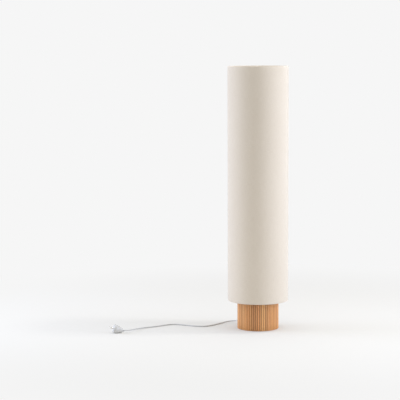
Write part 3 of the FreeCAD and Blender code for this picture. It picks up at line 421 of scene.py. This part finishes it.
MATERIALS = {
    "linen": linen(),
    "liner_film": liner_film(),
    "slat_wood": slat_wood(),
    "plywood": ply_wood(),
    "white_steel": painted("white_powder_coat", (0.80, 0.80, 0.78), (0.66, 0.66, 0.64), 0.42),
    "dark_steel": painted("black_powder_coat", (0.035, 0.035, 0.035), (0.06, 0.06, 0.06), 0.5),
    "zinc": metal("bright_zinc", (0.62, 0.63, 0.65), 0.30),
    "cast_iron": raw_iron(),
    "foot_rubber": moulded("foot_rubber", (0.035, 0.035, 0.035), 0.75, 500.0, 0.0001),
    "white_plastic": moulded("white_moulding", (0.76, 0.76, 0.745), 0.38),
    "rocker_plastic": moulded("rocker_moulding", (0.74, 0.74, 0.725), 0.28),
    "soft_white": moulded("soft_white_rubber", (0.60, 0.595, 0.575), 0.62, 600.0, 0.00008),
    "white_cable": cable_sheath(),
    "plug_plastic": moulded("plug_moulding", (0.60, 0.592, 0.565), 0.48, 700.0, 0.00008),
    "nickel": metal("bright_nickel", (0.72, 0.70, 0.67), 0.18),
    "brass": metal("bright_brass", (0.78, 0.57, 0.26), 0.25),
    "ceramic": moulded("glazed_ceramic", (0.82, 0.81, 0.78), 0.2, 120.0, 0.00006),
    "bulb_glass": clear_glass(),
    "filament": filament_rods(),
}
SLOT_OF = {part["node"]: part["material_slot"] for part in frame["record"]["subparts"]}


def dress_cad_nodes():
    for name, obj in NODES.items():
        slots = obj.material_slots
        if not slots:
            obj.data.materials.append(MATERIALS[SLOT_OF[name]])
        for entry in slots:
            entry.material = MATERIALS[SLOT_OF[name]]


# ---------------------------------------------------------------- mesh helpers
def new_object(name, vertices, faces, smooth=True):
    mesh = bpy.data.meshes.new(name)
    mesh.from_pydata([tuple(v) for v in vertices], [], faces)
    mesh.validate()
    mesh.update()
    if smooth:
        for polygon in mesh.polygons:
            polygon.use_smooth = True
    obj = bpy.data.objects.new(name, mesh)
    SCENE.collection.objects.link(obj)
    return obj


def outward(obj):
    """Faces turned to the outside."""
    work = bmesh.new()
    work.from_mesh(obj.data)
    bmesh.ops.recalc_face_normals(work, faces=work.faces)
    work.to_mesh(obj.data)
    work.free()


def sharp_above(obj, degrees):
    obj.data.set_sharp_from_angle(angle=math.radians(degrees))


def add_piece(obj, body, slot_name, *replaced):
    obj.data.materials.append(MATERIALS[slot_name])
    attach(obj, body)
    if replaced:
        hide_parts(*replaced)
    return obj


def turned_faces(columns, count, rows):
    """Faces between neighbouring columns of points, the last column joined to the first."""
    faces = []
    for column in range(columns):
        here, after = column * count, ((column + 1) % columns) * count
        for row in range(rows):
            upper = (row + 1) % count
            faces.append((here + row, after + row, after + upper, here + upper))
    return faces


def lathe(name, profile, steps, shape=None, closed=True):
    """Profile of (radius, height) points turned about Z. shape(radius, height, angle) may move each point."""
    vertices = []
    count = len(profile)
    for step in range(steps):
        angle = TAU * step / steps
        for radius, height in profile:
            if shape:
                radius, height = shape(radius, height, angle)
            vertices.append((radius * math.cos(angle), radius * math.sin(angle), height))
    rows = count if closed else count - 1
    return new_object(name, vertices, turned_faces(steps, count, rows))


def arc(centre, radius, start, end, steps):
    """Points on an arc in the (radius, height) plane, angles in degrees."""
    angles = [math.radians(start + (end - start) * i / steps) for i in range(steps + 1)]
    return [(centre[0] + radius * math.cos(a), centre[1] + radius * math.sin(a)) for a in angles]


# ---------------------------------------------------------------- shade
def hem_profile(rim_height, end):
    """Cloth rolled over a rim wire: its outside round to the flap behind, and its inside back again."""
    roll = RIM_WIRE + ROLL_GAP + CLOTH
    inner = roll - CLOTH
    centre = (SHADE_RADIUS - roll, rim_height - end * roll)
    flap = SHADE_RADIUS - CLOTH - LINER - HEM_GAP
    slope = centre[1] - end * (roll + HEM_SLOPE)
    stop = centre[1] - end * HEM_DROP
    outer_arc = [(x, centre[1] + end * (y - centre[1])) for x, y in arc(centre, roll, 0, 180, HEM_STEPS)]
    inner_arc = [(x, centre[1] + end * (y - centre[1])) for x, y in arc(centre, inner, 180, 0, HEM_STEPS)]
    straight = centre[1] - end * HEM_STRAIGHT
    back_outer = [(centre[0] - roll, straight), (flap - CLOTH, slope), (flap - CLOTH, stop)]
    back_inner = [(flap, stop), (flap, slope), (centre[0] - inner, straight)]
    return outer_arc + back_outer, back_inner + inner_arc


def shade_cloth():
    """The cloth tube with its rolled hems and, at the back, the overlap of its seam."""
    top_out, top_in = hem_profile(SHADE_TOP, 1)
    low_out, low_in = hem_profile(SHADE_BOTTOM, -1)
    low_wall, high_wall = low_out[0][1], top_out[0][1]
    outer_wall = [(SHADE_RADIUS, low_wall + (high_wall - low_wall) * i / CLOTH_ROWS)
                  for i in range(1, CLOTH_ROWS)]
    inner_wall = [(SHADE_RADIUS - CLOTH, high_wall + (low_wall - high_wall) * i / CLOTH_ROWS)
                  for i in range(1, CLOTH_ROWS)]
    profile = outer_wall + top_out + top_in + inner_wall + low_in[::-1] + low_out[::-1]
    seam_half = SEAM_WIDTH / 2 / SHADE_RADIUS
    edge = SEAM_EDGE / SHADE_RADIUS
    angles = sorted([TAU * i / CLOTH_COLUMNS for i in range(CLOTH_COLUMNS)]
                    + [math.pi / 2 + s for s in (-seam_half - edge, -seam_half, seam_half, seam_half + edge)])
    phases = [(random.uniform(0, TAU), random.randint(2, 7), random.uniform(2.0, 9.0))
              for _ in range(RIPPLE_COUNT)]
    vertices = []
    for angle in angles:
        off_seam = abs(angle - math.pi / 2)
        lift = CLOTH * SEAM_LIFT if off_seam <= seam_half + 1e-9 else 0.0
        for radius, height in profile:
            ripple = sum(math.sin(phase + waves * angle + pitch * height) for phase, waves, pitch in phases)
            outside = radius > SHADE_RADIUS - CLOTH * 0.5
            moved = radius + RIPPLE * ripple + (lift if outside else 0.0)
            vertices.append((moved * math.cos(angle), moved * math.sin(angle), height))
    count = len(profile)
    cloth = new_object("shade_cloth", vertices, turned_faces(len(angles), count, count))
    outward(cloth)
    sharp_above(cloth, 40)
    add_piece(cloth, "shade", "linen", "shade_fabric")


# ---------------------------------------------------------------- wooden base
def slat_mesh(work, index):
    """One half-round slat with eased ends, standing on the drum's face."""
    drum = BASE_RADIUS - SLAT_DEPTH
    half = drum * math.tan(math.pi / SLAT_COUNT) - SLAT_GAP / 2
    turn = -math.pi / 2 + TAU * index / SLAT_COUNT
    shrink = random.uniform(0.0, SLAT_SHRINK)
    narrow = random.uniform(0.0, SLAT_NARROW)
    flank = drum + SLAT_FLANK
    crest = BASE_RADIUS - shrink
    half -= narrow
    rise = crest - flank
    bow = (half ** 2 + rise ** 2) / (2 * rise)
    reach = math.asin(min(1.0, half / bow)) if rise <= half else math.pi / 2
    section = [(drum, -half)]
    for step in range(SLAT_ARC_STEPS + 1):
        share = -1 + 2 * step / SLAT_ARC_STEPS
        section.append((crest - bow + bow * math.cos(share * reach), bow * math.sin(share * reach)))
    section.append((drum, half))
    low, high = SLAT_LOW[2], SLAT_HIGH[2]
    step_in, inset_in = SLAT_EASE * 0.35, SLAT_EASE * SLAT_EASE_SHARE
    rows = [(low, SLAT_EASE), (low + step_in, inset_in), (low + SLAT_EASE, 0.0)]
    rows += [(low + (high - low) * i / SLAT_ROWS, 0.0) for i in range(1, SLAT_ROWS)]
    rows += [(high - SLAT_EASE, 0.0), (high - step_in, inset_in), (high, SLAT_EASE)]
    rings = []
    for height, inset in rows:
        ring = []
        for radius, side in section:
            depth = (radius - drum) / (crest - drum)
            r = radius - inset * depth
            y = side * (1 - inset / half)
            ring.append(work.verts.new((r * math.cos(turn) - y * math.sin(turn),
                                        r * math.sin(turn) + y * math.cos(turn), height)))
        rings.append(ring)
    for under, over in zip(rings, rings[1:]):
        for i in range(len(section)):
            j = (i + 1) % len(section)
            work.faces.new((under[i], under[j], over[j], over[i]))
    work.faces.new(list(reversed(rings[0])))
    work.faces.new(rings[-1])


def through_cutter(name, radius, angle, height):
    bpy.ops.mesh.primitive_cylinder_add(vertices=CUTTER_SIDES, radius=radius, depth=CUTTER_LENGTH)
    cutter = bpy.context.object
    cutter.name = name
    place = (BASE_RADIUS * math.cos(angle), BASE_RADIUS * math.sin(angle), height)
    cutter.matrix_world = (Matrix.Translation(place) @ Matrix.Rotation(angle, 4, "Z")
                           @ Matrix.Rotation(math.pi / 2, 4, "Y"))
    return cutter


def wooden_slats():
    """All slats, drilled through for the switch and for the cord's gland."""
    work = bmesh.new()
    for index in range(SLAT_COUNT):
        slat_mesh(work, index)
    mesh = bpy.data.meshes.new("wooden_slats")
    work.to_mesh(mesh)
    work.free()
    slats = bpy.data.objects.new("wooden_slats", mesh)
    SCENE.collection.objects.link(slats)
    cutters = [through_cutter("switch_cutter", SWITCH_HOLE, math.pi / 2, SWITCH_HEIGHT),
               through_cutter("gland_cutter", GLAND_HOLE, GLAND_ANGLE, GLAND_HEIGHT)]
    for cutter in cutters:
        modifier = slats.modifiers.new(cutter.name, "BOOLEAN")
        modifier.operation = "DIFFERENCE"
        modifier.object = cutter
        modifier.solver = "EXACT"
    bpy.context.view_layer.update()
    drilled = bpy.data.meshes.new_from_object(slats.evaluated_get(bpy.context.evaluated_depsgraph_get()))
    slats.modifiers.clear()
    slats.data = drilled
    drilled.materials.clear()
    for cutter in cutters:
        bpy.data.objects.remove(cutter, do_unlink=True)
    for polygon in drilled.polygons:
        polygon.use_smooth = True
    sharp_above(slats, 38)
    return add_piece(slats, "lamp", "slat_wood", "base_slats")


# ---------------------------------------------------------------- cord and plug
def cord_exit():
    return Vector((EXIT_RADIUS * math.cos(GLAND_ANGLE), EXIT_RADIUS * math.sin(GLAND_ANGLE), GLAND_HEIGHT))


def cord_end():
    return Vector((PLUG_END.x, PLUG_END.y, PLUG_TAIL_HEIGHT))


def power_cord(pieces):
    points = [cord_exit()] + [Vector(p) for p in CORD_ROUTE] + [cord_end()]
    curve = bpy.data.curves.new("mains_cord", "CURVE")
    curve.dimensions = "3D"
    spline = curve.splines.new("NURBS")
    spline.points.add(len(points) - 1)
    for point, place in zip(spline.points, points):
        point.co = (*place, 1.0)
    spline.order_u = 3
    spline.use_endpoint_u = True
    curve.resolution_u = 10
    curve.bevel_depth = CORD_DIAMETER / 2
    curve.bevel_resolution = 5
    cord = bpy.data.objects.new("mains_cord", curve)
    SCENE.collection.objects.link(cord)
    add_piece(cord, "lamp", "white_cable", "power_cord")


def along_axis(origin, direction, upright):
    """Matrix whose Z runs along the direction, with Y as near to upright as it can be."""
    axis = direction.normalized()
    side = upright.cross(axis).normalized()
    return Matrix.Translation(origin) @ Matrix((side, axis.cross(side), axis)).transposed().to_4x4()


def plug_matrix():
    """Local Z runs from the plug's tail to its face, Y is up."""
    last = Vector(CORD_ROUTE[-1])
    level = Vector((PLUG_END.x - last.x, PLUG_END.y - last.y, 0)).normalized()
    tail = cord_end() + level * PLUG_BOOT_LENGTH
    axis = level * math.cos(PLUG_SLOPE) + Vector((0, 0, 1)) * math.sin(PLUG_SLOPE)
    return along_axis(tail, axis, Vector((0, 0, 1))), level


def moved_mesh(obj, matrix):
    obj.data.transform(matrix)
    outward(obj)


def plug_grip():
    """Round tapered plug body with soft edges, finger ribs on its sides and two earth recesses."""
    cone = PLUG_LENGTH - PLUG_RIM
    step = (PLUG_FACE_RADIUS - PLUG_TAIL_RADIUS) / cone
    profile = [(0.0, 0.0), (PLUG_TAIL_RADIUS - 0.0016, 0.0), (PLUG_TAIL_RADIUS - 0.0005, 0.0004),
               (PLUG_TAIL_RADIUS, 0.0014)]
    profile += [(PLUG_TAIL_RADIUS + step * cone * i / PLUG_ROWS, cone * i / PLUG_ROWS)
                for i in range(2, PLUG_ROWS)]
    profile += [(PLUG_FACE_RADIUS - 0.0001, cone), (PLUG_FACE_RADIUS - 0.0004, cone + 0.002),
                (PLUG_FACE_RADIUS - 0.0008, PLUG_LENGTH - 0.002),
                (PLUG_FACE_RADIUS - 0.0014, PLUG_LENGTH - 0.0007),
                (PLUG_FACE_RADIUS - 0.0026, PLUG_LENGTH), (0.0167, PLUG_LENGTH),
                (SOCKET_RADIUS, PLUG_LENGTH - 0.0004), (SOCKET_RADIUS, PLUG_LENGTH - SOCKET_DEPTH),
                (0.0, PLUG_LENGTH - SOCKET_DEPTH)]

    def ribbed(radius, height, angle):
        across = abs(math.cos(angle))
        grip = max(0.0, across - GRIP_SIDE) / (1 - GRIP_SIDE)
        window = (max(0.0, min(1.0, (height - GRIP_START) / GRIP_FADE))
                  * max(0.0, min(1.0, (GRIP_END - height) / GRIP_FADE)))
        groove = GRIP_DEPTH * grip * window * (0.5 - 0.5 * math.cos(height * TAU / GRIP_PITCH))
        beside_slot = across * radius < EARTH_HALF_WIDTH
        in_recess = beside_slot and height > PLUG_LENGTH - EARTH_LENGTH and radius > 0.017
        return (radius - (groove if radius > 0.006 and height < 0.031 else 0.0)
                - (EARTH_DEPTH if in_recess else 0.0), height)

    grip = lathe("plug_grip", profile, PLUG_STEPS, ribbed, closed=False)
    work = bmesh.new()
    work.from_mesh(grip.data)
    bmesh.ops.remove_doubles(work, verts=work.verts, dist=1e-6)
    work.to_mesh(grip.data)
    work.free()
    moved_mesh(grip, plug_matrix()[0])
    sharp_above(grip, 42)
    return add_piece(grip, "lamp", "plug_plastic", "plug_body")


def ribbed_boot(name, length, root, tip, bore, ribs):
    """Tapered strain relief with ring grooves, open along its bore. Z runs from root to tip."""
    profile = [(bore, 0.0), (root, 0.0)]
    pitch = length / (ribs + 1.2)
    for rib in range(ribs):
        start = pitch * (rib + 0.7)
        here = root + (tip - root) * start / length
        there = root + (tip - root) * (start + pitch * 0.42) / length
        profile += [(here, start), (here - 0.0007, start + 0.0002),
                    (there - 0.0007, start + pitch * 0.42 - 0.0002), (there, start + pitch * 0.42)]
    profile += [(tip + 0.0001, length - 0.0006), (tip - 0.0004, length), (bore, length)]
    return lathe(name, profile, 48)


def cord_boot():
    boot = ribbed_boot("gland_boot", EXIT_RADIUS - BOOT_START, 0.0056, 0.0039, 0.00305, 6)
    away = Vector((math.cos(GLAND_ANGLE), math.sin(GLAND_ANGLE), 0))
    root = away * BOOT_START + Vector((0, 0, GLAND_HEIGHT))
    moved_mesh(boot, along_axis(root, away, Vector((0, 0, 1))))
    sharp_above(boot, 35)
    return add_piece(boot, "lamp", "soft_white", "cord_boot")


def plug_boot():
    level = plug_matrix()[1]
    tail = cord_end() + level * PLUG_BOOT_LENGTH
    boot = ribbed_boot("plug_relief", PLUG_BOOT_LENGTH - PLUG_BOOT_GAP, 0.0065, 0.0040, 0.0030, 3)
    moved_mesh(boot, along_axis(tail, -level, Vector((0, 0, 1))))
    sharp_above(boot, 35)
    return add_piece(boot, "lamp", "soft_white", "plug_boot")


# ---------------------------------------------------------------- floor, light and camera
def radial_fade(s, near, far):
    """0 near the lamp, 1 far from it."""
    distance = s.add("ShaderNodeVectorMath", {0: s.place}, operation="LENGTH").outputs["Value"]
    return s.add("ShaderNodeMapRange", {"Value": distance, "From Min": near, "From Max": far},
                 interpolation_type="SMOOTHSTEP").outputs["Result"]


def floor():
    """Pale matt floor whose colour runs into the ground's, and that keeps a soft part of each shadow."""
    corners = [(x * FLOOR_HALF, y * FLOOR_HALF, 0) for x, y in ((-1, -1), (1, -1), (1, 1), (-1, 1))]
    plane = new_object("studio_floor", corners, [(0, 1, 2, 3)], smooth=False)
    s = Shader("floor_paint", (0.735, 0.716, 0.667), 0.9, Specular_IOR_Level=0.0)
    tree = s.tree
    glow = s.add("ShaderNodeEmission", {"Color": (BACKGROUND, BACKGROUND, BACKGROUND, 1.0), "Strength": 1.0})
    fade = radial_fade(s, FADE_NEAR, FADE_FAR)
    camera = s.add("ShaderNodeLightPath").outputs["Is Camera Ray"]
    own = s.math("ADD", s.math("MULTIPLY", fade, FLOOR_SHARE), 1.0 - FLOOR_SHARE)
    factor = s.math("MULTIPLY", own, camera)
    mixed = s.add("ShaderNodeMixShader", {0: factor, 1: s.bsdf.outputs[0], 2: glow.outputs[0]})
    output = tree.nodes["Material Output"]
    tree.links.new(mixed.outputs[0], output.inputs["Surface"])
    plane.data.materials.append(s.material)


def world():
    """Even ambient light, and the pale ground for what is seen directly, in metal or through glass."""
    backdrop = bpy.data.worlds.new("studio")
    SCENE.world = backdrop
    backdrop.use_nodes = True
    tree = backdrop.node_tree
    tree.nodes.clear()
    path = tree.nodes.new("ShaderNodeLightPath")
    seen = path.outputs["Is Camera Ray"]
    for ray in ("Is Glossy Ray", "Is Transmission Ray"):
        either = tree.nodes.new("ShaderNodeMath")
        either.operation = "MAXIMUM"
        tree.links.new(seen, either.inputs[0])
        tree.links.new(path.outputs[ray], either.inputs[1])
        seen = either.outputs[0]
    ambient = tree.nodes.new("ShaderNodeBackground")
    ambient.inputs["Color"].default_value = (1.0, 1.0, 1.0, 1.0)
    ambient.inputs["Strength"].default_value = AMBIENT
    ground = tree.nodes.new("ShaderNodeBackground")
    ground.inputs["Color"].default_value = (BACKGROUND, BACKGROUND, BACKGROUND, 1.0)
    mixed = tree.nodes.new("ShaderNodeMixShader")
    output = tree.nodes.new("ShaderNodeOutputWorld")
    tree.links.new(seen, mixed.inputs[0])
    tree.links.new(ambient.outputs[0], mixed.inputs[1])
    tree.links.new(ground.outputs[0], mixed.inputs[2])
    tree.links.new(mixed.outputs[0], output.inputs["Surface"])


def softbox(name, place, target, size, power, color=(1.0, 1.0, 1.0)):
    light = bpy.data.lights.new(name, "AREA")
    light.shape = "RECTANGLE"
    light.size, light.size_y = size
    light.energy = power
    light.color = color
    obj = bpy.data.objects.new(name, light)
    obj.location = place
    direction = Vector(target) - Vector(place)
    obj.rotation_euler = direction.to_track_quat("-Z", "Y").to_euler()
    SCENE.collection.objects.link(obj)


def lights():
    middle = (0.0, 0.0, 0.65)
    softbox("right_softbox", (2.9, -0.9, 1.0), middle, (1.8, 2.0), 50.0, COOL)
    softbox("left_softbox", (-3.0, 0.22, 1.0), middle, (1.8, 2.0), 54.0, COOL)
    softbox("key_softbox", (2.0, -0.10, 4.0), (0.0, 0.0, 0.3), (0.45, 0.45), 38.0)
    softbox("overhead_softbox", (0.15, -0.10, 3.4), (0.0, 0.0, 0.0), (1.6, 1.6), 28.0)


def camera():
    forward = Vector((-math.sin(CAMERA_YAW) * math.cos(CAMERA_PITCH),
                      math.cos(CAMERA_YAW) * math.cos(CAMERA_PITCH), -math.sin(CAMERA_PITCH)))
    level = Vector((math.cos(CAMERA_YAW), math.sin(CAMERA_YAW), 0.0))
    above = level.cross(forward)
    right = level * math.cos(CAMERA_ROLL) + above * math.sin(CAMERA_ROLL)
    up = -level * math.sin(CAMERA_ROLL) + above * math.cos(CAMERA_ROLL)
    data = bpy.data.cameras.new("photo_camera")
    data.sensor_width = SENSOR
    data.lens = SENSOR * CAMERA_FOCAL_PIXELS / IMAGE_WIDTH
    data.clip_end = 100.0
    obj = bpy.data.objects.new("photo_camera", data)
    obj.matrix_world = Matrix.Translation(CAMERA_PLACE) @ Matrix((right, up, -forward)).transposed().to_4x4()
    SCENE.collection.objects.link(obj)
    SCENE.camera = obj


# ---------------------------------------------------------------- the whole scene
dress_cad_nodes()
shade_cloth()
wooden_slats()
cord_boot()
power_cord([plug_grip(), plug_boot(), NODES["plug_face"], NODES["plug_pins"], NODES["earth_clips"]])
floor()
world()
lights()
camera()
SCENE.view_settings.view_transform = "Standard"

bpy.context.view_layer.update()
